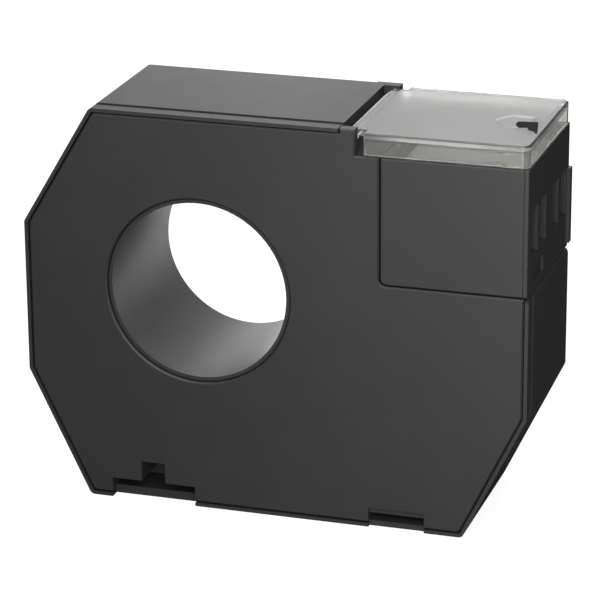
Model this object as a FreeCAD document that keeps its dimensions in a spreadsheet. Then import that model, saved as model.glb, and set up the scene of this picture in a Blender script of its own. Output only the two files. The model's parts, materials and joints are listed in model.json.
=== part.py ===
import FreeCAD, Part
import math
import os
from types import SimpleNamespace

import Sketcher

# A residual-current transformer: a flat moulded case with a round 35 mm window for the conductors,
# and a terminal chamber in its upper right corner under a clear hinged lid.
# Each piece is drawn from the case's lower left front corner: X to the right, Y into the depth and
# Z up. The placement then brings the middle of the underside to the origin.

SIZES = {
    # case
    "width": 100.0,
    "height": 79.0,
    "depth": 33.0,
    "tab_proud": 0.4,
    "foot_slant_run": 12.2,
    "foot_slant_rise": 25.2,
    "shoulder_run": 14.0,
    "shoulder_rise": 23.6,
    "corner_round": 1.2,
    "edge_round": 0.3,
    "edge_bevel": 0.3,
    "back_bevel": 0.6,
    "wall": 1.8,
    "back_wall": 2.0,
    # front plate in its rim
    "rim": 0.7,
    "seam": 0.25,
    "plate": 2.2,
    "groove_start": 2.6,
    "groove_width": 1.5,
    "groove_deep": 0.3,
    # conductor window
    "bore_radius": 17.5,
    "bore_across": 35.0,
    "bore_lift": 4.8,
    "bore_setback": 0.8,
    "spigot_wall": 0.7,
    "spigot_gap": 0.2,
    "tube_wall": 1.8,
    "mouth_chamfer": 0.3,
    # terminal corner
    "terminal_width": 28.75,
    "terminal_drop": 29.95,
    "joint_gap": 0.3,
    "terminal_setback": 0.3,
    "panel_drop": 5.0,
    "panel_wall": 1.8,
    "side_wall": 2.0,
    "inner_wall": 1.5,
    # hinge of the clear lid
    "roof_step": 7.85,
    "nose_reach": 3.2,
    "hinge_reach": 2.0,
    "hinge_drop": 1.8,
    "knuckle_radius": 1.3,
    "pivot_radius": 0.8,
    "pivot_clearance": 0.05,
    "pivot_deep": 1.5,
    "pivot_end_gap": 0.15,
    "knuckle_gap": 0.3,
    # clear lid
    "skirt_gap": 1.8,
    "skirt_wall": 1.4,
    "lid_gap": 0.3,
    "lid_setback": 0.1,
    "lid_corner": 1.5,
    "lid_edge_round": 0.4,
    "latch_width": 7.0,
    "latch_thick": 1.2,
    "latch_clearance": 0.7,
    "latch_drop": 2.2,
    "arrow_reach": 7.0,
    "arrow_tip": 2.6,
    "arrow_half": 3.8,
    "arrow_deep": 0.5,
    # wire windows in the side
    "window_width": 5.0,
    "window_height": 9.0,
    "window_sill": 5.35,
    "row_inset": 5.1,
    "row_pitch": 6.4,
    "tab_width": 2.0,
    "tab_height": 15.0,
    "tab_up": 1.0,
    "dimple_start": 4.5,
    "dimple_width": 8.0,
    "dimple_height": 3.0,
    "dimple_up": 1.5,
    "dimple_deep": 0.5,
    "lead_slot_height": 3.0,
    "lead_slot_side": 0.6,
    # terminal block and its four clamps
    "fit_gap": 0.2,
    "block_height": 19.8,
    "bay_width": 5.3,
    "bay_height": 11.0,
    "bay_up": 4.0,
    "bay_deep": 11.5,
    "screw_back": 7.1,
    "screw_hole_radius": 2.5,
    "bar_slot_width": 3.2,
    "bar_slot_height": 1.5,
    "solder_bay_deep": 5.0,
    "solder_bay_height": 6.0,
    "solder_bay_side": 1.6,
    "cage_width": 4.9,
    "cage_length": 7.5,
    "cage_height": 10.4,
    "cage_wall": 0.8,
    "cage_top": 2.2,
    "thread_radius": 1.35,
    "head_radius": 2.2,
    "head_height": 2.2,
    "shank_length": 6.2,
    "slot_width": 0.6,
    "slot_deep": 1.0,
    "clamp_plate_thick": 0.8,
    "clamp_plate_width": 3.0,
    "clamp_plate_length": 5.4,
    "contact_width": 2.8,
    "contact_thick": 0.9,
    "contact_tail": 3.0,
    # sockets for the mounting feet
    "socket_inset": 4.5,
    "socket_width": 17.1,
    "socket_top": 4.0,
    "stem_inset": 6.1,
    "stem_width": 4.9,
    "stem_top": 8.1,
    "socket_deep": 9.0,
    "socket_wall": 1.3,
    "socket_sill": 1.7,
    "slot_inset": 7.5,
    "slot_run": 11.0,
    "slot_setback": 0.9,
    "slot_sill": 1.1,
    "slot_opening": 1.6,
    # wound core round the window
    "tube_room": 1.2,
    "winding_radius": 31.7,
    "case_gap": 0.1,
    "case_wall": 1.0,
    "winding_thick": 0.9,
    "test_sector": 40.0,
    "winding_break": 3.0,
    "lead_radius": 0.7,
    "lead_pitch": 4.4,
    "cushion_thick": 3.3,
    "cushion_width": 8.0,
}

doc = FreeCAD.newDocument("current_transformer")
sheet = doc.addObject("Spreadsheet::Sheet", "sizes")
for row, (alias, value) in enumerate(SIZES.items(), start=1):
    sheet.set(f"A{row}", alias)
    sheet.set(f"B{row}", str(value))
    sheet.setAlias(f"B{row}", alias)
doc.recompute()


class Size:
    """A size as a number, and as the formula of spreadsheet cells that it is bound to."""

    def __init__(self, formula, number):
        self.formula = formula
        self.number = number

    def __add__(self, other):
        other = as_size(other)
        return Size(f"({self.formula} + {other.formula})", self.number + other.number)

    def __sub__(self, other):
        other = as_size(other)
        return Size(f"({self.formula} - {other.formula})", self.number - other.number)

    def __mul__(self, other):
        other = as_size(other)
        return Size(f"({self.formula} * {other.formula})", self.number * other.number)

    def __truediv__(self, other):
        other = as_size(other)
        return Size(f"({self.formula} / {other.formula})", self.number / other.number)

    def __rmul__(self, other):
        return as_size(other) * self

    def __neg__(self):
        return Size(f"(-{self.formula})", -self.number)


def as_size(value):
    return value if isinstance(value, Size) else Size(repr(float(value)), float(value))


def hypotenuse(run, rise):
    return Size(f"sqrt({run.formula}^2 + {rise.formula}^2)", math.hypot(run.number, rise.number))


def run_of(length, rise):
    """The level run of a slanting length."""
    number = math.sqrt(length.number**2 - rise.number**2)
    return Size(f"sqrt({length.formula}^2 - {rise.formula}^2)", number)


def slope_of(length, rise):
    """The angle of a slanting length, in degrees."""
    number = math.degrees(math.asin(rise.number / length.number))
    return Size(f"(asin({rise.formula} / {length.formula}) / 1 deg)", number)


s = SimpleNamespace(**{name: Size(f"sizes.{name}", value) for name, value in SIZES.items()})
ZERO = as_size(0)

# Places that several pieces share
side = s.width - s.tab_proud
middle = s.depth / 2
plate_edge = s.rim + s.seam
# conductor window
bore_up = s.height / 2 + s.bore_lift
spigot_radius = s.bore_radius + s.spigot_wall
mouth_radius = spigot_radius + s.spigot_gap
tube_radius = s.bore_radius + s.tube_wall
# terminal corner
terminal_left = side - s.terminal_width
terminal_floor = s.height - s.terminal_drop
panel_top = s.height - s.panel_drop
roof_end = terminal_left - s.roof_step
nose_end = roof_end + s.nose_reach
hinge = (roof_end + s.hinge_reach, s.height - s.hinge_drop)
housing_left = terminal_left + s.joint_gap
housing_right = side - s.terminal_setback
housing_bottom = terminal_floor + s.joint_gap
housing_floor = housing_bottom + s.panel_wall
# clear lid
skirt_start = nose_end + s.skirt_gap
lid_top = hinge[1] + s.knuckle_radius
lid_bottom = panel_top + s.lid_gap
lid_right = housing_right - s.lid_setback
lid_roof = s.knuckle_radius
# terminal block
block_left = housing_left + s.inner_wall + s.fit_gap
block_right = housing_right - s.side_wall - s.fit_gap
block_top = housing_floor + s.block_height
bay_bottom = housing_floor + s.bay_up
bay_top = bay_bottom + s.bay_height
bay_left = block_right - s.bay_deep
screw_across = block_right - s.screw_back
cage_bottom = bay_bottom + s.fit_gap
cage_top = cage_bottom + s.cage_height
contact_bottom = cage_bottom + s.cage_wall
contact_left = block_left + s.solder_bay_deep - s.contact_tail
lead_up = contact_bottom + s.contact_thick + s.lead_radius
terminal_rows = [
    s.row_inset,
    s.row_inset + s.row_pitch,
    s.depth - s.row_inset - s.row_pitch,
    s.depth - s.row_inset,
]
# sockets for the mounting feet
socket_left = s.foot_slant_run + s.socket_inset
socket_right = socket_left + s.socket_width
stem_left = socket_left + s.stem_inset
slot_left = side - s.foot_slant_run - s.slot_inset - s.slot_run
slot_right = slot_left + s.slot_run
# windings round the window, as inner and outer radius, and start and end depth
WINDING = (
    tube_radius + s.tube_room,
    s.winding_radius,
    s.plate + s.cushion_thick,
    s.depth - s.back_wall - s.cushion_thick,
)
lead_angle = slope_of(WINDING[1], lead_up - bore_up)


pieces = []


def place(piece, label):
    """Brings a piece to the shared frame, and lists it as one of the parts to write."""
    piece.Label = label
    piece.setExpression("Placement.Base.x", (-s.width / 2).formula)
    piece.setExpression("Placement.Base.y", (-s.depth / 2).formula)
    pieces.append(piece)
    return piece


def new_body(label):
    return place(doc.addObject("PartDesign::Body", label), label)


def new_sketch(body, name, plane, start):
    """A sketch on one of the body's own planes, moved along that plane's axis to start."""
    sketch = body.newObject("Sketcher::SketchObject", name)
    origin_plane = next(p for p in body.Origin.OriginFeatures if p.Role == plane)
    sketch.AttachmentSupport = [(origin_plane, "")]
    sketch.MapMode = "FlatFace"
    offset = -start if plane == "XZ_Plane" else start
    sketch.setExpression("AttachmentOffset.Base.z", offset.formula)
    return sketch


def bind(sketch, kind, geometry, point, target):
    """Holds one coordinate of a sketch point at a size."""
    row = sketch.addConstraint(Sketcher.Constraint(kind, -1, 1, geometry, point, target.number))
    sketch.setExpression(f"Constraints[{row}]", target.formula)


def draw_polygon(sketch, corners):
    first = sketch.GeometryCount
    points = [FreeCAD.Vector(a.number, b.number, 0) for a, b in corners]
    count = len(points)
    for i in range(count):
        sketch.addGeometry(Part.LineSegment(points[i], points[(i + 1) % count]), False)
    for i in range(count):
        following = first + (i + 1) % count
        sketch.addConstraint(Sketcher.Constraint("Coincident", first + i, 2, following, 1))
    for i, (across, up) in enumerate(corners):
        bind(sketch, "DistanceX", first + i, 1, across)
        bind(sketch, "DistanceY", first + i, 1, up)


def draw_rectangle(sketch, low, high):
    draw_polygon(sketch, [low, (high[0], low[1]), high, (low[0], high[1])])


def draw_circle(sketch, centre, radius):
    middle_point = FreeCAD.Vector(centre[0].number, centre[1].number, 0)
    circle = Part.Circle(middle_point, FreeCAD.Vector(0, 0, 1), radius.number)
    row = sketch.addGeometry(circle, False)
    bind(sketch, "DistanceX", row, 3, centre[0])
    bind(sketch, "DistanceY", row, 3, centre[1])
    held = sketch.addConstraint(Sketcher.Constraint("Radius", row, radius.number))
    sketch.setExpression(f"Constraints[{held}]", radius.formula)


def finish_feature(body, feature):
    body.Tip = feature
    doc.recompute()
    return feature


def pad(body, name, sketch, length, backwards=False):
    """Adds material from the sketch's plane. backwards is against the plane's own normal."""
    feature = body.newObject("PartDesign::Pad", name)
    feature.Profile = sketch
    feature.setExpression("Length", length.formula)
    feature.Reversed = backwards
    return finish_feature(body, feature)


def pocket(body, name, sketch, length, backwards=False):
    """Cuts from the sketch's plane, and makes sure that something was cut."""
    before = body.Shape.Volume
    feature = body.newObject("PartDesign::Pocket", name)
    feature.Profile = sketch
    feature.setExpression("Length", length.formula)
    feature.Reversed = backwards
    finish_feature(body, feature)
    if body.Shape.Volume >= before:
        raise RuntimeError(f"{body.Label}: {name} cuts nothing")
    return feature


def slab(body, name, corners, start, length, cut=False):
    """A flat form seen from the front, from the depth start on, added or cut away."""
    sketch = new_sketch(body, f"{name}_outline", "XZ_Plane", start)
    draw_polygon(sketch, corners)
    if cut:
        return pocket(body, name, sketch, length)
    return pad(body, name, sketch, length, backwards=True)


def disc(body, name, centre, radius, start, length, cut=False):
    """A round form seen from the front, from the depth start on, added or cut away."""
    sketch = new_sketch(body, f"{name}_outline", "XZ_Plane", start)
    draw_circle(sketch, centre, radius)
    if cut:
        return pocket(body, name, sketch, length)
    return pad(body, name, sketch, length, backwards=True)


def box_corners(left, low, right, high):
    return [(left, low), (right, low), (right, high), (left, high)]


def dress(body, name, kind, base, edges, radius):
    """Rounds or bevels the named edges of the last feature."""
    if not edges:
        raise RuntimeError(f"{body.Label}: {name} finds no edge")
    feature = body.newObject(f"PartDesign::{kind}", name)
    feature.Base = (base, edges)
    feature.setExpression("Radius" if kind == "Fillet" else "Size", radius.formula)
    return finish_feature(body, feature)


NEAR = 0.02
FULL_TURN = as_size(360)


def edges_into_depth(shape, corners):
    """The straight edges that run along Y through the given points of the front view."""
    found = []
    for number, edge in enumerate(shape.Edges, start=1):
        ends = [v.Point for v in edge.Vertexes]
        if len(ends) != 2 or abs(ends[0].x - ends[1].x) > NEAR or abs(ends[0].z - ends[1].z) > NEAR:
            continue
        for across, up in corners:
            if math.hypot(ends[0].x - across.number, ends[0].z - up.number) < NEAR:
                found.append(f"Edge{number}")
                break
    return found


def edges_of_face(shape, coordinate, value, shortest, keep=lambda edge: True):
    """The edges that lie in the plane where one coordinate has the given value."""
    found = []
    for number, edge in enumerate(shape.Edges, start=1):
        box = edge.BoundBox
        low = getattr(box, f"{coordinate}Min")
        high = getattr(box, f"{coordinate}Max")
        if abs(low - value.number) < NEAR and abs(high - value.number) < NEAR:
            if edge.Length > shortest and keep(edge):
                found.append(f"Edge{number}")
    return found


def case_outline(inset, corner_inset):
    """The case seen from the front, moved in by inset on its outer sides.

    Returns the run of corners from the foot's left end round the right side, the terminal corner
    with the roof's end above it, and the run from the roof back round the left side. corner_inset
    moves the terminal corner and the roof's end in."""
    foot = hypotenuse(s.foot_slant_run, s.foot_slant_rise)
    shoulder = hypotenuse(s.shoulder_run, s.shoulder_rise)
    foot_along = inset * (foot - s.foot_slant_run) / s.foot_slant_rise
    foot_upward = inset * (foot - s.foot_slant_rise) / s.foot_slant_run
    shoulder_along = inset * (shoulder - s.shoulder_run) / s.shoulder_rise
    shoulder_down = inset * (shoulder - s.shoulder_rise) / s.shoulder_run
    floor = terminal_floor - corner_inset
    wall_line = terminal_left - corner_inset
    right_run = [
        (s.foot_slant_run + foot_along, inset),
        (side - s.foot_slant_run - foot_along, inset),
        (side - inset, s.foot_slant_rise + foot_upward),
        (side - inset, floor),
    ]
    corner_run = [
        (wall_line, floor),
        (wall_line, panel_top - corner_inset),
        (roof_end - corner_inset, panel_top - corner_inset),
        (roof_end - corner_inset, s.height - inset),
    ]
    left_run = [
        (s.shoulder_run + shoulder_along, s.height - inset),
        (inset, s.height - s.shoulder_rise - shoulder_down),
        (inset, s.foot_slant_rise + foot_upward),
    ]
    return right_run, corner_run, left_run


def rear_shell():
    """The tub: back wall, side walls with the plate's rim, the window's tube and the feet's sockets."""
    body = new_body("rear_shell")
    right_run, corner_run, left_run = case_outline(ZERO, ZERO)
    block = slab(body, "block", right_run + corner_run + left_run, ZERO, s.depth)
    edges = edges_into_depth(block.Shape, right_run + left_run)
    block = dress(body, "corners", "Fillet", block, edges, s.corner_round)
    edges = edges_of_face(block.Shape, "Y", s.depth, 0.0)
    dress(body, "back_edge", "Chamfer", block, edges, s.back_bevel)
    nose = box_corners(roof_end - s.wall, panel_top - s.wall, nose_end, s.height)
    slab(body, "rear_nose", nose, s.depth - s.plate, s.plate)

    right_run, corner_run, left_run = case_outline(s.groove_deep, ZERO)
    sketch = new_sketch(body, "side_groove_outline", "XZ_Plane", s.groove_start)
    draw_polygon(sketch, right_run + corner_run + left_run)
    draw_rectangle(sketch, (-s.wall, -s.wall), (s.width + s.wall, s.height + s.wall))
    pocket(body, "side_groove", sketch, s.groove_width)

    right_run, corner_run, left_run = case_outline(s.wall, s.wall)
    room = s.depth - s.plate - s.back_wall
    slab(body, "cavity", right_run + corner_run + left_run, s.plate, room, cut=True)
    right_run, corner_run, left_run = case_outline(s.rim, ZERO)
    slab(body, "plate_seat", right_run + corner_run + left_run, ZERO, s.plate, cut=True)

    centre = (s.bore_across, bore_up)
    disc(body, "spigot", centre, spigot_radius, s.bore_setback, s.plate)
    disc(body, "tube", centre, tube_radius, s.plate, s.depth - s.plate - s.edge_round)
    bored = disc(body, "bore", centre, s.bore_radius, ZERO, s.depth + s.wall, cut=True)
    mouth = edges_of_face(bored.Shape, "Y", s.depth, 0.0, is_round_at_bore)
    dress(body, "bore_edge", "Chamfer", bored, mouth, s.mouth_chamfer)

    foot_socket(body, "front", s.plate)
    foot_socket(body, "back", s.depth - s.back_wall - s.socket_deep)
    hole = s.pivot_radius + s.pivot_clearance
    disc(body, "pivot_hole", hinge, hole, s.depth - s.plate, s.pivot_deep, cut=True)
    sketch = new_sketch(body, "lead_slot_outline", "YZ_Plane", terminal_left)
    draw_rectangle(sketch, *lead_slot_corners())
    pocket(body, "lead_slot", sketch, s.wall)
    return body


def is_round_at_bore(edge):
    return hasattr(edge.Curve, "Radius") and abs(edge.Curve.Radius - s.bore_radius.number) < NEAR


def lead_slot_corners():
    """The slot in both walls beside the windings, as wide as the four leads spread."""
    aside = s.lead_radius + s.lead_slot_side
    low = (terminal_rows[0] - aside, lead_up - s.lead_slot_height / 2)
    high = (terminal_rows[-1] + aside, lead_up + s.lead_slot_height / 2)
    return low, high


def socket_outline(bottom):
    """The T shape of the left socket, down to the given height."""
    stem_right = stem_left + s.stem_width
    return [
        (socket_left, bottom),
        (socket_right, bottom),
        (socket_right, s.socket_top),
        (stem_right, s.socket_top),
        (stem_right, s.stem_top),
        (stem_left, s.stem_top),
        (stem_left, s.socket_top),
        (socket_left, s.socket_top),
    ]


def slot_outline(bottom, top):
    return box_corners(slot_left, bottom, slot_right, top)


def foot_socket(body, name, start):
    """A T socket on the left and a two-lipped slot on the right of the underside, on one face.

    start is the depth where the sockets' material begins. The front ones open to the front."""
    outer_top = s.stem_top + s.socket_wall
    frame = box_corners(socket_left - s.socket_wall, ZERO, socket_right + s.socket_wall, outer_top)
    slab(body, f"{name}_socket_block", frame, start, s.socket_deep)
    outer_top = s.socket_top + s.socket_wall
    lips = box_corners(slot_left - s.socket_wall, ZERO, slot_right + s.socket_wall, outer_top)
    slab(body, f"{name}_slot_block", lips, start, s.socket_deep)
    hollow = socket_outline(s.socket_sill)
    gap = slot_outline(s.slot_sill, s.slot_sill + s.slot_opening)
    if name == "front":
        rim_cut = box_corners(socket_left, -s.wall, socket_right, s.socket_top)
        slab(body, "front_socket_rim", rim_cut, ZERO, s.plate, cut=True)
        slab(body, "front_slot_rim", slot_outline(-s.wall, s.socket_top), ZERO, s.plate, cut=True)
        lip_length = s.plate - s.slot_setback
        slab(body, "front_lips", slot_outline(ZERO, s.socket_top), s.slot_setback, lip_length)
        slab(body, "front_socket", hollow, s.plate, s.socket_deep - s.socket_wall, cut=True)
        slab(body, "front_slot", gap, ZERO, s.socket_deep, cut=True)
        return
    reach = s.socket_deep + s.back_wall - s.socket_wall
    from_inside = start + s.socket_wall
    slab(body, "back_socket", hollow, from_inside, reach, cut=True)
    slab(body, "back_slot", gap, from_inside, reach, cut=True)


def front_cover():
    """The flat front plate, inside the shell's rim, with the lid's front pivot hole in its nose."""
    body = new_body("front_cover")
    right_run, corner_run, left_run = case_outline(plate_edge, ZERO)
    nose = [
        (nose_end, panel_top),
        (nose_end, s.height),
        (roof_end + s.seam, s.height),
        (roof_end + s.seam, s.height - plate_edge),
    ]
    plate = slab(body, "plate", right_run + corner_run[:2] + nose + left_run, ZERO, s.plate)
    edges = edges_into_depth(plate.Shape, right_run[:3] + corner_run[:1] + left_run)
    plate = dress(body, "corners", "Fillet", plate, edges, s.corner_round)
    edges = edges_of_face(plate.Shape, "Y", ZERO, 0.0)
    dress(body, "front_edge", "Chamfer", plate, edges, s.edge_bevel)
    holed = disc(body, "mouth", (s.bore_across, bore_up), mouth_radius, ZERO, s.plate, cut=True)
    edges = edges_of_face(holed.Shape, "Y", ZERO, 0.0, is_round_at_mouth)
    dress(body, "mouth_edge", "Chamfer", holed, edges, s.mouth_chamfer)
    slab(body, "socket_cut", socket_outline(ZERO), ZERO, s.plate, cut=True)
    slab(body, "slot_cut", slot_outline(ZERO, s.socket_top), ZERO, s.plate, cut=True)
    hole = s.pivot_radius + s.pivot_clearance
    disc(body, "pivot_hole", hinge, hole, s.plate - s.pivot_deep, s.pivot_deep, cut=True)
    return body


def is_round_at_mouth(edge):
    return hasattr(edge.Curve, "Radius") and abs(edge.Curve.Radius - mouth_radius.number) < NEAR


def terminal_housing():
    """The open box in the case's upper right corner, with its front panel flush with the plate."""
    body = new_body("terminal_housing")
    outline = box_corners(housing_left, housing_bottom, housing_right, panel_top)
    block = slab(body, "block", outline, ZERO, s.depth)
    edges = edges_into_depth(block.Shape, outline[:1])
    block = dress(body, "corner", "Fillet", block, edges, s.corner_round)
    edges = edges_of_face(block.Shape, "Y", ZERO, 0.0)
    edges += edges_of_face(block.Shape, "Y", s.depth, 0.0)
    dress(body, "edges", "Fillet", block, edges, s.edge_round)
    sketch = new_sketch(body, "chamber_outline", "XY_Plane", panel_top)
    low = (housing_left + s.inner_wall, s.panel_wall)
    high = (housing_right - s.side_wall, s.depth - s.panel_wall)
    draw_rectangle(sketch, low, high)
    pocket(body, "chamber", sketch, panel_top - housing_floor)
    wire_windows(body)
    line = housing_right - plate_edge
    groove = box_corners(line, housing_bottom, line + s.seam, panel_top)
    slab(body, "panel_groove", groove, ZERO, s.groove_deep, cut=True)
    sketch = new_sketch(body, "side_tab_outline", "YZ_Plane", housing_right - s.side_wall / 2)
    low = (s.depth - s.tab_width, housing_bottom + s.tab_up)
    draw_rectangle(sketch, low, (s.depth - s.edge_round, low[1] + s.tab_height))
    pad(body, "side_tab", sketch, s.width - housing_right + s.side_wall / 2)
    sketch = new_sketch(body, "dimple_outline", "YZ_Plane", housing_right)
    low = (s.dimple_start, housing_bottom + s.dimple_up)
    draw_rectangle(sketch, low, (low[0] + s.dimple_width, low[1] + s.dimple_height))
    pocket(body, "dimple", sketch, s.dimple_deep)
    sketch = new_sketch(body, "lead_slot_outline", "YZ_Plane", housing_left)
    draw_rectangle(sketch, *lead_slot_corners())
    pocket(body, "lead_slot", sketch, s.inner_wall, backwards=True)
    return body


def wire_windows(body):
    """A pair of wire windows in the right wall, repeated towards the back."""
    sketch = new_sketch(body, "window_outline", "YZ_Plane", housing_right)
    for centre in terminal_rows[:2]:
        low = (centre - s.window_width / 2, housing_floor + s.window_sill)
        draw_rectangle(sketch, low, (low[0] + s.window_width, low[1] + s.window_height))
    first = pocket(body, "window_pair", sketch, s.side_wall)
    before = body.Shape.Volume
    pattern = body.newObject("PartDesign::LinearPattern", "window_pairs")
    pattern.Originals = [first]
    depth_axis = next(a for a in body.Origin.OriginFeatures if a.Role == "Y_Axis")
    pattern.Direction = (depth_axis, [""])
    pattern.Occurrences = 2
    pattern.setExpression("Length", (terminal_rows[2] - terminal_rows[0]).formula)
    finish_feature(body, pattern)
    if body.Shape.Volume >= before:
        raise RuntimeError("the second pair of windows is missing")


def terminal_cover():
    """The clear lid: a flat roof with skirts, a round hinge edge with two pivots, and a latch tongue."""
    body = new_body("terminal_cover")
    sketch = new_sketch(body, "block_outline", "XY_Plane", lid_bottom)
    draw_rectangle(sketch, (skirt_start, ZERO), (lid_right, s.depth))
    block = pad(body, "block", sketch, lid_top - lid_bottom)
    edges = []
    for number, edge in enumerate(block.Shape.Edges, start=1):
        ends = [v.Point for v in edge.Vertexes]
        upright = abs(ends[0].z - ends[1].z) > NEAR
        if upright and abs(ends[0].x - lid_right.number) < NEAR:
            edges.append(f"Edge{number}")
    block = dress(body, "corners", "Fillet", block, edges, s.lid_corner)
    edges = edges_of_face(block.Shape, "Z", lid_top, 0.0, is_clear_of_hinge)
    dress(body, "roof_edge", "Fillet", block, edges, s.lid_edge_round)
    sketch = new_sketch(body, "hollow_outline", "XY_Plane", lid_bottom)
    low = (skirt_start - s.skirt_wall, s.skirt_wall)
    draw_rectangle(sketch, low, (lid_right - s.skirt_wall, s.depth - s.skirt_wall))
    pocket(body, "hollow", sketch, lid_top - lid_roof - lid_bottom, backwards=True)

    knuckle_start = s.plate + s.knuckle_gap
    knuckle_length = s.depth - 2 * knuckle_start
    sketch = new_sketch(body, "hinge_roof_outline", "XY_Plane", lid_top - lid_roof)
    low = (hinge[0], knuckle_start)
    draw_rectangle(sketch, low, (skirt_start + s.skirt_wall, s.depth - knuckle_start))
    pad(body, "hinge_roof", sketch, lid_roof)
    disc(body, "knuckle", hinge, s.knuckle_radius, knuckle_start, knuckle_length)
    pivot_start = s.plate - s.pivot_deep + s.pivot_end_gap
    disc(body, "pivots", hinge, s.pivot_radius, pivot_start, s.depth - 2 * pivot_start)

    latch_right = housing_right - s.side_wall - s.latch_clearance
    sketch = new_sketch(body, "latch_outline", "XY_Plane", panel_top - s.latch_drop)
    low = (latch_right - s.latch_thick, middle - s.latch_width / 2)
    draw_rectangle(sketch, low, (latch_right, middle + s.latch_width / 2))
    pad(body, "latch", sketch, lid_top - lid_roof - panel_top + s.latch_drop + s.arrow_deep)

    arrow_right = latch_right - s.latch_thick
    arrow_left = arrow_right - s.arrow_reach
    shoulder = arrow_left + s.arrow_tip
    sketch = new_sketch(body, "arrow_outline", "XY_Plane", lid_top - lid_roof)
    draw_polygon(sketch, [
        (arrow_left, middle),
        (shoulder, middle - s.arrow_half),
        (arrow_right, middle - s.arrow_half),
        (arrow_right, middle + s.arrow_half),
        (shoulder, middle + s.arrow_half),
    ])
    pocket(body, "arrow", sketch, s.arrow_deep, backwards=True)
    return body


def is_clear_of_hinge(edge):
    return edge.BoundBox.XMax > skirt_start.number + NEAR


def terminal_block():
    """The insulating block in the chamber, with a bay for each clamp and a bay for the winding's leads."""
    body = new_body("terminal_block")
    low = (block_left, s.panel_wall + s.fit_gap)
    high = (block_right, s.depth - s.panel_wall - s.fit_gap)
    sketch = new_sketch(body, "block_outline", "XY_Plane", housing_floor)
    draw_rectangle(sketch, low, high)
    pad(body, "block", sketch, s.block_height)
    sketch = new_sketch(body, "bay_outline", "YZ_Plane", block_right)
    for centre in terminal_rows:
        half = s.bay_width / 2
        draw_rectangle(sketch, (centre - half, bay_bottom), (centre + half, bay_top))
    pocket(body, "bays", sketch, s.bay_deep)
    sketch = new_sketch(body, "screw_hole_outline", "XY_Plane", block_top)
    for centre in terminal_rows:
        draw_circle(sketch, (screw_across, centre), s.screw_hole_radius)
    pocket(body, "screw_holes", sketch, block_top - bay_top)
    sketch = new_sketch(body, "solder_bay_outline", "YZ_Plane", block_left)
    solder_low = contact_bottom - s.solder_bay_height / 2
    low = (s.panel_wall + s.fit_gap + s.solder_bay_side, solder_low)
    draw_rectangle(sketch, low, (s.depth - low[0], solder_low + s.solder_bay_height))
    pocket(body, "solder_bay", sketch, s.solder_bay_deep, backwards=True)
    sketch = new_sketch(body, "bar_slot_outline", "YZ_Plane", bay_left)
    for centre in terminal_rows:
        half = s.bar_slot_width / 2
        low = (centre - half, contact_bottom - s.fit_gap)
        draw_rectangle(sketch, low, (centre + half, low[1] + s.bar_slot_height))
    pocket(body, "bar_slots", sketch, bay_left - block_left - s.solder_bay_deep)
    return body


def part_box(name, low, lengths):
    """A plain block of the Part bench, with its corner and sides bound to sizes."""
    box = doc.addObject("Part::Box", name)
    for side_name, length in zip(("Length", "Width", "Height"), lengths):
        box.setExpression(side_name, length.formula)
    for axis, start in zip("xyz", low):
        box.setExpression(f"Placement.Base.{axis}", start.formula)
    return box


def part_cylinder(name, foot, radius, height):
    cylinder = doc.addObject("Part::Cylinder", name)
    cylinder.setExpression("Radius", radius.formula)
    cylinder.setExpression("Height", height.formula)
    for axis, start in zip("xyz", foot):
        cylinder.setExpression(f"Placement.Base.{axis}", start.formula)
    return cylinder


def cut(name, base, tool):
    result = doc.addObject("Part::Cut", name)
    result.Base = base
    result.Tool = tool
    return result


def group(label, members):
    """Several like pieces in one part, each still a solid of its own."""
    compound = doc.addObject("Part::Compound", label)
    compound.Links = members
    return place(compound, label)


def clamps():
    """Four cage clamps, each with its screw, pressure plate and contact bar."""
    cages, screws, plates, bars = [], [], [], []
    cage_left = screw_across - s.cage_length / 2
    plate_left = screw_across - s.clamp_plate_length / 2
    screw_bottom = block_top - s.head_height - s.shank_length
    for row, centre in enumerate(terminal_rows, start=1):
        low = (cage_left, centre - s.cage_width / 2, cage_bottom)
        frame = part_box(f"cage_frame_{row}", low, (s.cage_length, s.cage_width, s.cage_height))
        hollow_height = s.cage_height - s.cage_wall - s.cage_top
        hollow = part_box(
            f"cage_hollow_{row}",
            (cage_left, centre - s.cage_width / 2 + s.cage_wall, contact_bottom),
            (s.cage_length, s.cage_width - 2 * s.cage_wall, hollow_height),
        )
        thread = part_cylinder(
            f"cage_thread_{row}",
            (screw_across, centre, cage_top - s.cage_top),
            s.thread_radius + s.case_gap,
            s.cage_top,
        )
        cages.append(cut(f"cage_{row}", cut(f"cage_open_{row}", frame, hollow), thread))

        head_foot = (screw_across, centre, block_top - s.head_height)
        head = part_cylinder(f"screw_head_{row}", head_foot, s.head_radius, s.head_height)
        shank_foot = (screw_across, centre, screw_bottom)
        shank = part_cylinder(f"screw_shank_{row}", shank_foot, s.thread_radius, s.shank_length)
        whole = doc.addObject("Part::Fuse", f"screw_blank_{row}")
        whole.Base = head
        whole.Tool = shank
        slot = part_box(
            f"screw_slot_{row}",
            (screw_across - s.head_radius, centre - s.slot_width / 2, block_top - s.slot_deep),
            (2 * s.head_radius, s.slot_width, s.slot_deep),
        )
        screws.append(cut(f"screw_{row}", whole, slot))

        plates.append(part_box(
            f"clamp_plate_{row}",
            (plate_left, centre - s.clamp_plate_width / 2, screw_bottom - s.clamp_plate_thick),
            (s.clamp_plate_length, s.clamp_plate_width, s.clamp_plate_thick),
        ))
        bar_length = screw_across + s.cage_length / 2 - contact_left
        bars.append(part_box(
            f"contact_bar_{row}",
            (contact_left, centre - s.contact_width / 2, contact_bottom),
            (bar_length, s.contact_width, s.contact_thick),
        ))
    group("clamp_cages", cages)
    group("terminal_screws", screws)
    group("clamp_plates", plates)
    group("contact_bars", bars)


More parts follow.
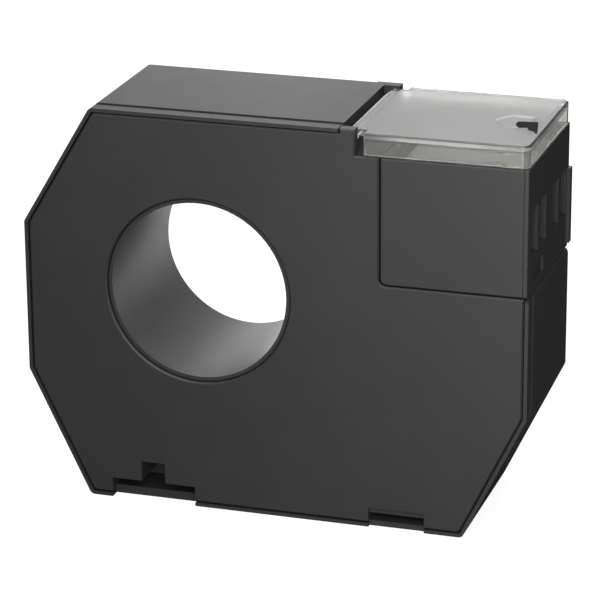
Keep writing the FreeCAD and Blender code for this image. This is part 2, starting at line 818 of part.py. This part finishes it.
def ring(label, section, hollow=None, angle=None, turn=ZERO):
    """A ring round the window, turned from its section: inner and outer radius, start and end depth.

    hollow is the section of what it surrounds. A part ring runs clockwise, seen from the front,
    through angle, and starts turn degrees above the right."""
    body = new_body(label)
    sketch = new_sketch(body, "section", "XY_Plane", ZERO)
    draw_rectangle(sketch, (section[0], section[2]), (section[1], section[3]))
    if hollow:
        draw_rectangle(sketch, (hollow[0], hollow[2]), (hollow[1], hollow[3]))
    feature = body.newObject("PartDesign::Revolution", "turned")
    feature.Profile = sketch
    axis = next(a for a in body.Origin.OriginFeatures if a.Role == "Y_Axis")
    feature.ReferenceAxis = (axis, [""])
    if angle:
        feature.setExpression("Angle", angle.formula)
    finish_feature(body, feature)
    body.setExpression("Placement.Base.x", (s.bore_across - s.width / 2).formula)
    body.setExpression("Placement.Base.z", bore_up.formula)
    if turn is not ZERO:
        body.Placement.Rotation = FreeCAD.Rotation(FreeCAD.Vector(0, -1, 0), turn.number)
        body.setExpression("Placement.Rotation.Angle", turn.formula)
    return body


def grown(section, by):
    """A ring's section with by more on every side."""
    return section[0] - by, section[1] + by, section[2] - by, section[3] + by


def wound_core():
    """The strip core in its two-part case, with the two windings over it.

    Each fits inside the next one out. The windings meet at the height of the leads, and the test
    winding is the short one above them."""
    windings_room = grown(WINDING, -s.winding_thick)
    test_turn = lead_angle + s.winding_break / 2 + s.test_sector
    main_turn = lead_angle - s.winding_break / 2
    main_angle = FULL_TURN - s.test_sector - 2 * s.winding_break
    ring("test_winding", WINDING, windings_room, s.test_sector, test_turn)
    ring("secondary_winding", WINDING, windings_room, main_angle, main_turn)

    case = grown(windings_room, -s.case_gap)
    room = grown(case, -s.case_wall)
    tub = ring("core_case", (case[0], case[1], case[2], room[3]))
    sketch = new_sketch(tub, "room_outline", "XZ_Plane", room[2])
    draw_circle(sketch, (ZERO, ZERO), room[1])
    draw_circle(sketch, (ZERO, ZERO), room[0])
    pocket(tub, "room", sketch, room[3] - room[2])
    ring("core_case_lid", (case[0], case[1], room[3], case[3]))
    ring("toroid_core", grown(room, -s.case_gap))


def cushions():
    """Four foam blocks before the windings and four behind, which hold them in the case."""
    span = WINDING[1] - WINDING[0]
    half = s.cushion_width / 2
    spots = {
        "top": (-half, WINDING[0], s.cushion_width, span),
        "bottom": (-half, -WINDING[1], s.cushion_width, span),
        "left": (-WINDING[1], -half, span, s.cushion_width),
        "right": (WINDING[0], -half, span, s.cushion_width),
    }
    for label, start in (("front_cushion", s.plate), ("rear_cushion", WINDING[3])):
        blocks = []
        for spot, (across, up, length, height) in spots.items():
            low = (s.bore_across + across, start, bore_up + up)
            blocks.append(part_box(f"{label}_{spot}", low, (length, s.cushion_thick, height)))
        group(label, blocks)


def leads():
    """Two insulated leads from each winding, straight through the slots in both walls to the bars."""
    start = s.bore_across + run_of(WINDING[1], lead_up - s.lead_radius - bore_up) + s.case_gap
    end = contact_left + s.contact_tail
    names = ("measuring_lead_1", "measuring_lead_2", "test_lead_1", "test_lead_2")
    steps = (-1.5, -0.5, 0.5, 1.5)
    for name, centre, step in zip(names, terminal_rows, steps):
        body = new_body(name)
        beside = middle + step * s.lead_pitch
        route = {"out": (start, beside), "tip": (end, centre)}
        sections = []
        for spot, (across, depth) in route.items():
            section = new_sketch(body, spot, "YZ_Plane", across)
            draw_circle(section, (depth, lead_up), s.lead_radius)
            sections.append(section)
        doc.recompute()
        run = body.newObject("PartDesign::AdditiveLoft", "run")
        run.Profile = sections[0]
        run.Sections = sections[1:]
        run.Ruled = True
        finish_feature(body, run)


rear_shell()
front_cover()
terminal_housing()
terminal_cover()
terminal_block()
clamps()
wound_core()
cushions()
leads()
doc.recompute()

for item in doc.Objects:
    if "Invalid" in item.State or "Error" in item.State:
        raise RuntimeError(f"{item.Label} did not build: {item.State}")
for piece in pieces:
    if piece.Shape.isNull() or not piece.Shape.isValid():
        raise RuntimeError(f"{piece.Label} has no sound shape")

os.makedirs("parts", exist_ok=True)
for piece in pieces:
    piece.Shape.exportStep(f"parts/{piece.Label}.step")
    solids = piece.Shape.Solids
    print(f"{piece.Label}: {len(solids)} solid(s), {sum(part.Volume for part in solids):.1f} mm3")
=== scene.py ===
import json
import math

import bmesh
import bpy
from mathutils import Matrix, Vector


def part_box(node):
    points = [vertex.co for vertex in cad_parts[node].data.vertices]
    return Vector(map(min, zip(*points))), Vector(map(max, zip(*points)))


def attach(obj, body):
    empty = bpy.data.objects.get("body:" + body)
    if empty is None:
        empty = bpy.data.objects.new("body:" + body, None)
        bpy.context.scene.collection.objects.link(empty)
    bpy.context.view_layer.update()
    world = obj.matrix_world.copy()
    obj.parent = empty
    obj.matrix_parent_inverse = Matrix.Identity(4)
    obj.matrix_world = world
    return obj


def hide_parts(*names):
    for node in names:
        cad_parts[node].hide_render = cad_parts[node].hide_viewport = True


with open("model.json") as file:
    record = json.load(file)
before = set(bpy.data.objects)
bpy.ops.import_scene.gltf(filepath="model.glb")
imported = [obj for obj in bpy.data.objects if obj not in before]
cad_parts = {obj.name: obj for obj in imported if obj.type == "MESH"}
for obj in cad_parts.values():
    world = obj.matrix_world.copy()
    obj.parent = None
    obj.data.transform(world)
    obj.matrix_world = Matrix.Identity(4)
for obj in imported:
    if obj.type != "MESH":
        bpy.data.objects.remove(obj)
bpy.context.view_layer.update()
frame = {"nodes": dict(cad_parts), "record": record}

# Everything is in metres. The case stands on z = 0 with its front plate towards -Y, its round
# window left of the middle and its terminals under a clear lid on the upper right.

MM = 0.001

# Places read from the frame
shell_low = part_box("rear_shell")[0]
lid_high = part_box("terminal_cover")[1]
screws_low, screws_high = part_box("terminal_screws")

# Sizes of the lid and the clamp screws that their boxes don't give
LID_ROOF = 1.3 * MM
LID_WALL = 1.4 * MM
LID_EDGE_ROUND = 0.4 * MM
HEAD_RADIUS = 2.2 * MM
ROW_PITCH = 6.4 * MM

WHITE = (1.0, 1.0, 1.0, 1.0)


def linear(level):
    """A level written as 0 to 255 on screen, as the linear value that a shader takes."""
    value = level / 255
    return value / 12.92 if value <= 0.04045 else ((value + 0.055) / 1.055) ** 2.4


def tint(red, green, blue):
    """A colour written as 0 to 255 on screen, as the one that a shader takes."""
    return (linear(red), linear(green), linear(blue), 1.0)


class Graph:
    """Short calls for adding nodes to a tree and linking them."""

    def __init__(self, tree):
        self.tree = tree
        self.nodes = tree.nodes
        self.links = tree.links

    def node(self, kind, label="", **values):
        made = self.nodes.new(kind)
        made.label = label
        for name, value in values.items():
            setattr(made, name, value)
        return made

    def feed(self, socket, value):
        """Links an output to a socket, or sets the socket to a value."""
        if isinstance(value, bpy.types.NodeSocket):
            self.links.new(value, socket)
        else:
            socket.default_value = value

    def math(self, operation, first, second=0.0):
        made = self.node("ShaderNodeMath", operation=operation)
        self.feed(made.inputs[0], first)
        self.feed(made.inputs[1], second)
        return made.outputs[0]

    def mix(self, share, first, second):
        made = self.node("ShaderNodeMix", data_type="RGBA")
        self.feed(made.inputs["Factor"], share)
        self.feed(made.inputs["A"], first)
        self.feed(made.inputs["B"], second)
        return made.outputs["Result"]

    def noise(self, vector, scale, detail=2.0, roughness=0.5):
        made = self.node("ShaderNodeTexNoise")
        self.feed(made.inputs["Vector"], vector)
        self.feed(made.inputs["Scale"], scale)
        made.inputs["Detail"].default_value = detail
        made.inputs["Roughness"].default_value = roughness
        return made.outputs["Fac"]

    def ramp(self, value, low, high, to_low=0.0, to_high=1.0):
        made = self.node("ShaderNodeMapRange")
        self.feed(made.inputs["Value"], value)
        limits = {"From Min": low, "From Max": high, "To Min": to_low, "To Max": to_high}
        for name, limit in limits.items():
            made.inputs[name].default_value = limit
        return made.outputs["Result"]


def new_group(name, inputs, outputs, tree_type="ShaderNodeTree"):
    """An empty node group with named sockets: inputs as name, kind and value."""
    tree = bpy.data.node_groups.new(name, tree_type)
    for socket_name, kind, value in inputs:
        socket = tree.interface.new_socket(socket_name, in_out="INPUT", socket_type=kind)
        if value is not None:
            socket.default_value = value
    for socket_name, kind in outputs:
        tree.interface.new_socket(socket_name, in_out="OUTPUT", socket_type=kind)
    graph = Graph(tree)
    return graph, graph.node("NodeGroupInput").outputs, graph.node("NodeGroupOutput").inputs


FLOAT, COLOUR, VECTOR = "NodeSocketFloat", "NodeSocketColor", "NodeSocketVector"
GEOMETRY, MATERIAL = "NodeSocketGeometry", "NodeSocketMaterial"


def moulded_grain():
    """The matt grain that spark erosion leaves in a mould: fine pits over a slow unevenness."""
    graph, given, result = new_group(
        "moulded grain",
        [
            ("Colour", COLOUR, (0.02, 0.02, 0.02, 1.0)),
            ("Grain Size", FLOAT, 0.35 * MM),
            ("Grain Depth", FLOAT, 0.01 * MM),
            ("Roughness", FLOAT, 0.45),
        ],
        [("Colour", COLOUR), ("Roughness", FLOAT), ("Normal", VECTOR)],
    )
    place = graph.node("ShaderNodeTexCoord").outputs["Object"]
    pits = graph.noise(place, graph.math("DIVIDE", 1.0, given["Grain Size"]), detail=3.0)
    slow = graph.noise(place, 38.0, detail=3.0)
    patches = graph.noise(place, 210.0, detail=4.0, roughness=0.6)
    bump = graph.node("ShaderNodeBump")
    graph.feed(bump.inputs["Distance"], given["Grain Depth"])
    graph.feed(bump.inputs["Height"], pits)
    slow_shade = graph.ramp(slow, 0.3, 0.7, 0.94, 1.06)
    patch_shade = graph.ramp(patches, 0.3, 0.7, 0.97, 1.03)
    uneven = graph.math("MULTIPLY", slow_shade, patch_shade)
    shade = graph.math("MULTIPLY", uneven, graph.ramp(pits, 0.3, 0.7, 0.9, 1.1))
    scaled = graph.node("ShaderNodeVectorMath", operation="SCALE")
    graph.feed(scaled.inputs[0], given["Colour"])
    graph.feed(scaled.inputs["Scale"], shade)
    graph.feed(result["Colour"], scaled.outputs[0])
    rough = graph.math("ADD", given["Roughness"], graph.ramp(patches, 0.3, 0.7, -0.015, 0.015))
    graph.feed(result["Roughness"], rough)
    graph.feed(result["Normal"], bump.outputs["Normal"])
    return graph.tree


def new_material(name):
    """A material with one Principled shader, and the graph to build its surface in."""
    material = bpy.data.materials.new(name)
    material.use_nodes = True
    graph = Graph(material.node_tree)
    graph.nodes.clear()
    shader = graph.node("ShaderNodeBsdfPrincipled")
    output = graph.node("ShaderNodeOutputMaterial")
    graph.links.new(shader.outputs["BSDF"], output.inputs["Surface"])
    return material, graph, shader


def plastic(name, colour, grain, size=0.35 * MM, depth=0.01 * MM, roughness=0.45, specular=0.5):
    """A moulded plastic finish on the shared grain."""
    material, graph, shader = new_material(name)
    group = graph.node("ShaderNodeGroup", node_tree=grain)
    values = {"Colour": colour, "Grain Size": size, "Grain Depth": depth, "Roughness": roughness}
    for socket_name, value in values.items():
        group.inputs[socket_name].default_value = value
    graph.links.new(group.outputs["Colour"], shader.inputs["Base Color"])
    graph.links.new(group.outputs["Roughness"], shader.inputs["Roughness"])
    graph.links.new(group.outputs["Normal"], shader.inputs["Normal"])
    shader.inputs["Specular IOR Level"].default_value = specular
    return material


def metal(name, colour, roughness, streaks=(1.0, 1.0, 1.0), streak_scale=900.0):
    """A plated or bare metal with fine drawn streaks."""
    material, graph, shader = new_material(name)
    place = graph.node("ShaderNodeTexCoord").outputs["Object"]
    stretched = graph.node("ShaderNodeMapping")
    graph.feed(stretched.inputs["Vector"], place)
    stretched.inputs["Scale"].default_value = streaks
    lines = graph.noise(stretched.outputs["Vector"], streak_scale, detail=3.0)
    cloud = graph.noise(place, 320.0, detail=4.0)
    darker = tuple(channel * 0.7 for channel in colour[:3]) + (1.0,)
    worn = graph.mix(graph.ramp(cloud, 0.35, 0.65), darker, colour)
    graph.feed(shader.inputs["Base Color"], worn)
    spread = 0.08
    rough = graph.ramp(lines, 0.3, 0.7, roughness - spread, roughness + spread)
    graph.feed(shader.inputs["Roughness"], rough)
    bump = graph.node("ShaderNodeBump")
    bump.inputs["Distance"].default_value = 0.01 * MM
    graph.feed(bump.inputs["Height"], lines)
    graph.feed(shader.inputs["Normal"], bump.outputs["Normal"])
    shader.inputs["Metallic"].default_value = 1.0
    return material


def clear_lid():
    """Clear polycarbonate, lightly frosted under its roof, with painted light and shade in its
    colour.

    Under the roof the frost is painted a darker grey as shade, and the same band draws a thin dark
    line of painted shade across the walls. A dark line of painted shade runs along its rounded edge,
    the roof is painted a little darker than the walls, and its right wall is painted paler than the
    others as painted light."""
    material, graph, shader = new_material("clear_polycarbonate")
    place = graph.node("ShaderNodeTexCoord").outputs["Object"]
    haze = graph.noise(place, 90.0, detail=3.0)
    split = graph.node("ShaderNodeSeparateXYZ")
    graph.links.new(place, split.inputs[0])
    across, height = split.outputs["X"], split.outputs["Z"]

    def near(level, full, none):
        """1 within a distance of a level, falling to 0 at a longer one."""
        off = graph.math("ABSOLUTE", graph.math("SUBTRACT", height, level))
        return graph.ramp(off, full, none, 1.0, 0.0)

    # Painted shade: the frost band under the roof is a darker grey, and it leaves a thin dark line
    # across the walls at the same height.
    frost_and_painted_shade = near(lid_high.z - LID_ROOF, 0.08 * MM, 0.16 * MM)
    # Painted shade: a dark line along the rounded edge.
    painted_edge_shade = near(lid_high.z - LID_EDGE_ROUND / 2, 0.1 * MM, 0.2 * MM)
    # Painted shade on the roof, a little darker than the walls; painted light on the right wall,
    # paler than the others.
    painted_roof_shade = graph.ramp(height, lid_high.z - LID_EDGE_ROUND, lid_high.z - 0.1 * MM)
    inner_side = lid_high.x - LID_WALL
    painted_right_wall_light = graph.ramp(across, inner_side - 0.1 * MM, inner_side + 0.1 * MM)
    walls_with_painted_light = graph.mix(painted_right_wall_light, tint(212, 213, 208), tint(238, 238, 234))
    # This colour carries the painted light and shade of the roof, the walls and the rounded edge.
    clear = graph.mix(painted_roof_shade, walls_with_painted_light, tint(196, 195, 195))
    clear = graph.mix(painted_edge_shade, clear, tint(100, 100, 96))
    frosted_and_shaded = graph.mix(haze, tint(146, 145, 145), tint(156, 154, 154))
    graph.feed(shader.inputs["Base Color"], graph.mix(frost_and_painted_shade, clear, frosted_and_shaded))
    rough = graph.math("MULTIPLY", frost_and_painted_shade, graph.ramp(haze, 0.3, 0.7, 0.25, 0.35))
    graph.feed(shader.inputs["Roughness"], graph.math("ADD", rough, 0.05))
    shader.inputs["Transmission Weight"].default_value = 0.92
    shader.inputs["IOR"].default_value = 1.5
    return material


def added(name, data):
    """A new object in the scene."""
    made = bpy.data.objects.new(name, data)
    bpy.context.scene.collection.objects.link(made)
    return made


def plain_mesh(name, source):
    """The evaluated shape of an object as a new object with a plain mesh. The source goes."""
    bpy.context.view_layer.update()
    evaluated = source.evaluated_get(bpy.context.evaluated_depsgraph_get())
    mesh = bpy.data.meshes.new_from_object(evaluated)
    bpy.data.meshes.remove(source.data)
    mesh.name = name
    return added(name, mesh)


def grown(name, tree, values):
    """A plain mesh made by a Geometry Nodes tree, with its named inputs set."""
    seed = added(name, bpy.data.meshes.new(name))
    modifier = seed.modifiers.new(name, "NODES")
    modifier.node_group = tree
    inputs = [item for item in tree.interface.items_tree if item.in_out == "INPUT"]
    identifiers = {item.name: item.identifier for item in inputs}
    for socket_name, value in values.items():
        modifier[identifiers[socket_name]] = value
    return plain_mesh(name, seed)


def clamp_screw_tree():
    """Two pairs of clamp screws, each with a crowned head, a slot, a cross recess and a thread."""
    graph, given, result = new_group(
        "clamp screws",
        [
            ("Geometry", GEOMETRY, None),
            ("First Screw", VECTOR, (0.0, 0.0, 0.0)),
            ("Head Radius", FLOAT, 2.2 * MM),
            ("Head Height", FLOAT, 2.2 * MM),
            ("Shank Radius", FLOAT, 1.35 * MM),
            ("Shank Length", FLOAT, 6.2 * MM),
            ("Thread Pitch", FLOAT, 0.5 * MM),
            ("Slot Width", FLOAT, 0.6 * MM),
            ("Slot Depth", FLOAT, 1.0 * MM),
            ("Cross Length", FLOAT, 2.6 * MM),
            ("Row Pitch", FLOAT, 6.4 * MM),
            ("Pair Pitch", FLOAT, 16.4 * MM),
            ("Material", MATERIAL, None),
        ],
        [("Geometry", GEOMETRY)],
        "GeometryNodeTree",
    )

    def vector(x=0.0, y=0.0, z=0.0):
        made = graph.node("ShaderNodeCombineXYZ")
        for socket, value in zip(made.inputs, (x, y, z)):
            graph.feed(socket, value)
        return made.outputs[0]

    def made_by(kind, output, **values):
        made = graph.node(kind)
        for socket_name, value in values.items():
            graph.feed(made.inputs[socket_name.replace("_", " ")], value)
        return made.outputs[output]

    def moved(shape, place):
        return made_by("GeometryNodeTransform", "Geometry", Geometry=shape, Translation=place)

    def joined(*shapes):
        made = graph.node("GeometryNodeJoinGeometry")
        for shape in shapes:
            graph.links.new(shape, made.inputs[0])
        return made.outputs[0]

    def times(value, factor):
        return graph.math("MULTIPLY", value, factor)

    radius, height = given["Head Radius"], given["Head Height"]
    crown_share, crown_taper = 0.2, 0.84
    crown_height = times(height, crown_share)
    neck_height = times(height, 1.0 - crown_share)
    neck = made_by(
        "GeometryNodeMeshCone", "Mesh", Vertices=48,
        Radius_Top=radius, Radius_Bottom=radius, Depth=neck_height,
    )
    crown = made_by(
        "GeometryNodeMeshCone", "Mesh", Vertices=48,
        Radius_Top=times(radius, crown_taper), Radius_Bottom=radius, Depth=crown_height,
    )
    union = graph.node("GeometryNodeMeshBoolean", operation="UNION")
    graph.links.new(moved(neck, vector(z=times(height, -1.0))), union.inputs["Mesh 2"])
    graph.links.new(moved(crown, vector(z=times(crown_height, -1.0))), union.inputs["Mesh 2"])
    deep = times(given["Slot Depth"], 2.0)
    slot_size = vector(times(radius, 2.4), given["Slot Width"], deep)
    cross_size = vector(given["Slot Width"], given["Cross Length"], deep)
    slot = made_by("GeometryNodeMeshCube", "Mesh", Size=slot_size)
    cross = made_by("GeometryNodeMeshCube", "Mesh", Size=cross_size)
    cut = graph.node("GeometryNodeMeshBoolean", operation="DIFFERENCE")
    graph.links.new(union.outputs["Mesh"], cut.inputs["Mesh 1"])
    graph.links.new(slot, cut.inputs["Mesh 2"])
    graph.links.new(cross, cut.inputs["Mesh 2"])

    core_radius = times(given["Shank Radius"], 0.82)
    ridge_radius = times(given["Thread Pitch"], 0.45)
    core = made_by(
        "GeometryNodeMeshCone", "Mesh", Vertices=32,
        Radius_Top=core_radius, Radius_Bottom=core_radius, Depth=given["Shank Length"],
    )
    run = graph.math("SUBTRACT", given["Shank Length"], given["Thread Pitch"])
    path_radius = graph.math("SUBTRACT", given["Shank Radius"], ridge_radius)
    spiral = made_by(
        "GeometryNodeCurveSpiral", "Curve", Resolution=24,
        Rotations=graph.math("DIVIDE", run, given["Thread Pitch"]),
        Start_Radius=path_radius, End_Radius=path_radius, Height=run,
    )
    ridge = made_by("GeometryNodeCurvePrimitiveCircle", "Curve", Resolution=6, Radius=ridge_radius)
    thread = made_by(
        "GeometryNodeCurveToMesh", "Mesh", Curve=spiral, Profile_Curve=ridge, Fill_Caps=True,
    )
    foot = graph.math("SUBTRACT", times(height, -1.0), given["Shank Length"])
    shank = joined(
        moved(core, vector(z=foot)),
        moved(thread, vector(z=graph.math("ADD", foot, times(given["Thread Pitch"], 0.5)))),
    )
    screw = joined(cut.outputs["Mesh"], shank)

    row = made_by("GeometryNodeMeshLine", "Mesh", Count=2, Offset=vector(y=given["Row Pitch"]))
    pair = made_by("GeometryNodeInstanceOnPoints", "Instances", Points=row, Instance=screw)
    pairs = made_by("GeometryNodeMeshLine", "Mesh", Count=2, Offset=vector(y=given["Pair Pitch"]))
    every = made_by("GeometryNodeInstanceOnPoints", "Instances", Points=pairs, Instance=pair)
    placed = moved(every, given["First Screw"])
    real = made_by("GeometryNodeRealizeInstances", "Geometry", Geometry=placed)
    plated = made_by(
        "GeometryNodeSetMaterial", "Geometry", Geometry=real, Material=given["Material"],
    )
    graph.links.new(plated, result["Geometry"])
    return graph.tree


def clamp_screws(steel):
    """The four clamp screws under the lid."""
    first = ((screws_low.x + screws_high.x) / 2, screws_low.y + HEAD_RADIUS, screws_high.z)
    span = screws_high.y - screws_low.y - 2 * HEAD_RADIUS
    piece = grown("clamp_screws", clamp_screw_tree(), {
        "First Screw": first,
        "Head Radius": HEAD_RADIUS,
        "Row Pitch": ROW_PITCH,
        "Pair Pitch": span - ROW_PITCH,
        "Material": steel,
    })
    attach(piece, "case")
    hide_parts("terminal_screws")


def lid_shadow_mark(finish):
    """A small dark shape beside the arrow near the lid's right edge, inlaid thinly in the roof: a
    painted shadow, a dark inlay standing where there is only the shade of a recess.

    Its corners are in millimetres."""
    outline = [
        (43.3, -2.9), (43.4, -1.1), (47.1, -0.6), (48.6, -7.9), (48.2, -7.7),
        (47.3, -6.3), (46.6, -6.2), (45.8, -4.3), (44.4, -5.0),
    ]
    sunk, proud = 0.1 * MM, 0.06 * MM
    shape = bmesh.new()
    low = [shape.verts.new((x * MM, y * MM, lid_high.z - sunk)) for x, y in outline]
    high = [shape.verts.new((x * MM, y * MM, lid_high.z + proud)) for x, y in outline]
    shape.faces.new(low)
    shape.faces.new(high)
    for at in range(len(outline)):
        after = (at + 1) % len(outline)
        shape.faces.new((low[at], low[after], high[after], high[at]))
    bmesh.ops.recalc_face_normals(shape, faces=shape.faces)
    bmesh.ops.bevel(
        shape, geom=shape.edges[:], offset=0.03 * MM, segments=2, affect="EDGES", profile=0.5,
    )
    mesh = bpy.data.meshes.new("lid_shadow_mark")
    shape.to_mesh(mesh)
    shape.free()
    mesh.materials.append(finish)
    piece = added("lid_shadow_mark", mesh)
    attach(piece, "lid")


def make_camera():
    """The photograph's viewpoint: slightly to the right of the front and slightly above."""
    azimuth, elevation, roll = (math.radians(angle) for angle in (17.6, 19.6, -0.4))
    distance = 0.596
    aim = Vector((0.0055, shell_low.y, 0.0448))
    back = Vector((
        math.sin(azimuth) * math.cos(elevation),
        -math.cos(azimuth) * math.cos(elevation),
        math.sin(elevation),
    ))
    data = bpy.data.cameras.new("camera")
    data.sensor_width = 36.0
    data.lens = 190.0
    data.clip_start = 0.01
    camera = added("camera", data)
    camera.location = aim + back * distance
    level = back.to_track_quat("Z", "Y").to_matrix().to_4x4()
    camera.rotation_euler = (Matrix.Rotation(roll, 4, back) @ level).to_euler()
    bpy.context.scene.camera = camera


def make_lamp(name, place, aim, size, power):
    """A soft rectangular lamp that isn't seen itself."""
    data = bpy.data.lights.new(name, "AREA")
    data.shape = "RECTANGLE"
    data.size, data.size_y = size
    data.energy = power
    lamp = added(name, data)
    lamp.visible_camera = False
    lamp.location = place
    lamp.rotation_euler = (Vector(place) - Vector(aim)).to_track_quat("Z", "Y").to_euler()


def seen_directly(graph):
    """1 for rays from the camera, through the clear lid too, and 0 for rays that light or mirror."""
    rays = graph.node("ShaderNodeLightPath")
    seen = rays.outputs["Is Camera Ray"]
    return graph.math("MAXIMUM", seen, rays.outputs["Is Transmission Ray"])


def make_world():
    """White where it is seen, and else a soft studio, brighter above and behind, dim at right."""
    world = bpy.data.worlds.new("studio")
    world.use_nodes = True
    graph = Graph(world.node_tree)
    graph.nodes.clear()
    output = graph.node("ShaderNodeOutputWorld")
    seen = graph.node("ShaderNodeBackground", "seen")
    seen.inputs["Color"].default_value = WHITE
    light = graph.node("ShaderNodeBackground", "light")
    direction = graph.node("ShaderNodeTexCoord").outputs["Generated"]
    split = graph.node("ShaderNodeSeparateXYZ")
    graph.links.new(direction, split.inputs[0])
    from_above = graph.ramp(split.outputs["Z"], -0.1, 1.0, 0.25, 0.8)
    beside = graph.ramp(split.outputs["X"], -0.1, 0.3, 1.0, 0.03)
    from_behind = graph.ramp(split.outputs["Y"], 0.2, 0.9, 0.0, 0.5)
    strength = graph.math("MULTIPLY", graph.math("ADD", from_above, from_behind), beside)
    graph.feed(light.inputs["Strength"], strength)
    mixed = graph.node("ShaderNodeMixShader")
    graph.links.new(seen_directly(graph), mixed.inputs[0])
    graph.links.new(light.outputs[0], mixed.inputs[1])
    graph.links.new(seen.outputs[0], mixed.inputs[2])
    graph.links.new(mixed.outputs[0], output.inputs[0])
    bpy.context.scene.world = world


def make_floor():
    """A pale floor that runs off to white. The rays that light the object find it a dim grey."""
    mesh = bpy.data.meshes.new("floor")
    reach = 3.0
    corners = [(-reach, -reach, 0), (reach, -reach, 0), (reach, reach, 0), (-reach, reach, 0)]
    mesh.from_pydata(corners, [], [(0, 1, 2, 3)])
    floor = added("floor", mesh)
    material, graph, shader = new_material("floor_paper")
    place = graph.node("ShaderNodeTexCoord").outputs["Object"]
    fibres = graph.noise(place, 400.0, detail=3.0)
    seen = seen_directly(graph)
    paper = graph.mix(fibres, (0.12, 0.12, 0.12, 1.0), (0.13, 0.13, 0.13, 1.0))
    dim_grey = (0.02, 0.02, 0.02, 1.0)
    graph.feed(shader.inputs["Base Color"], graph.mix(seen, dim_grey, paper))
    shader.inputs["Roughness"].default_value = 0.9
    shader.inputs["Emission Color"].default_value = WHITE
    graph.feed(shader.inputs["Emission Strength"], graph.math("MULTIPLY", seen, 0.92))
    floor.data.materials.append(material)


def finish_nodes(finishes):
    """Gives each node of the frame the material of its slot in the record."""
    for row in frame["record"]["subparts"]:
        materials = frame["nodes"][row["node"]].data.materials
        materials.clear()
        materials.append(finishes[row["material_slot"]])


grain = moulded_grain()
finishes = {
    "case_black": plastic("case_plastic", tint(37, 37, 38), grain, roughness=0.5, specular=0.4),
    "lid_clear": clear_lid(),
    "block_grey": plastic("block_plastic", tint(196, 196, 198), grain, size=0.5 * MM),
    "clamp_brass": metal("clamp_brass", tint(206, 182, 122), 0.3),
    "screw_steel": metal("screw_steel", tint(205, 206, 208), 0.28),
    "core_iron": metal(
        "core_strip", tint(120, 121, 126), 0.42, streaks=(1.0, 14.0, 1.0), streak_scale=300.0,
    ),
    "core_case_white": plastic(
        "core_case_plastic", tint(225, 224, 218), grain, size=0.6 * MM, roughness=0.4,
    ),
    "copper_wire": metal("enamelled_copper", tint(176, 92, 44), 0.3),
    "foam_grey": plastic(
        "cushion_foam", tint(96, 96, 98), grain, size=0.8 * MM, depth=0.2 * MM, roughness=0.9,
    ),
    "lead_black": plastic("lead_black", tint(34, 34, 36), grain, roughness=0.4),
    "lead_red": plastic("lead_red", tint(168, 34, 30), grain, roughness=0.4),
    "lead_blue": plastic("lead_blue", tint(38, 70, 150), grain, roughness=0.4),
}
finish_nodes(finishes)
clamp_screws(finishes["screw_steel"])
# The dark inlay on the lid is painted shadow.
lid_shadow_mark(plastic("shadow_mark_black", tint(18, 16, 16), grain, roughness=0.8, specular=0.1))

make_camera()
make_world()
make_floor()

# Each lamp's name, place, the point it shines at, its two sides and its watts
middle = (0.0, 0.0, 0.04)
window = (-0.015, 0.0, 0.03)
LAMPS = [
    ("top_softbox", (0.05, -0.08, 0.55), middle, (0.5, 0.5), 2.4),
    ("front_softbox", (0.09, -0.24, 0.12), (0.05, 0.0, 0.05), (0.2, 0.25), 1.1),
    ("back_softbox", (-0.24, 0.7, 0.28), window, (0.6, 0.5), 0.35),
    ("window_softbox", (-0.04, 0.1, 0.02), (-0.03, 0.0, 0.045), (0.12, 0.03), 0.045),
    ("bore_softbox", (-0.06, 0.13, 0.085), window, (0.06, 0.05), 0.012),
    ("rear_fill", (-0.08, 0.55, 0.05), middle, (0.25, 0.15), 1.7),
    ("side_fill", (0.6, -0.15, 0.12), middle, (0.3, 0.3), 0.4),
    ("left_fill", (-0.5, 0.3, 0.15), middle, (0.3, 0.3), 0.8),
]
for lamp in LAMPS:
    make_lamp(*lamp)

bpy.context.scene.view_settings.view_transform = "Standard"
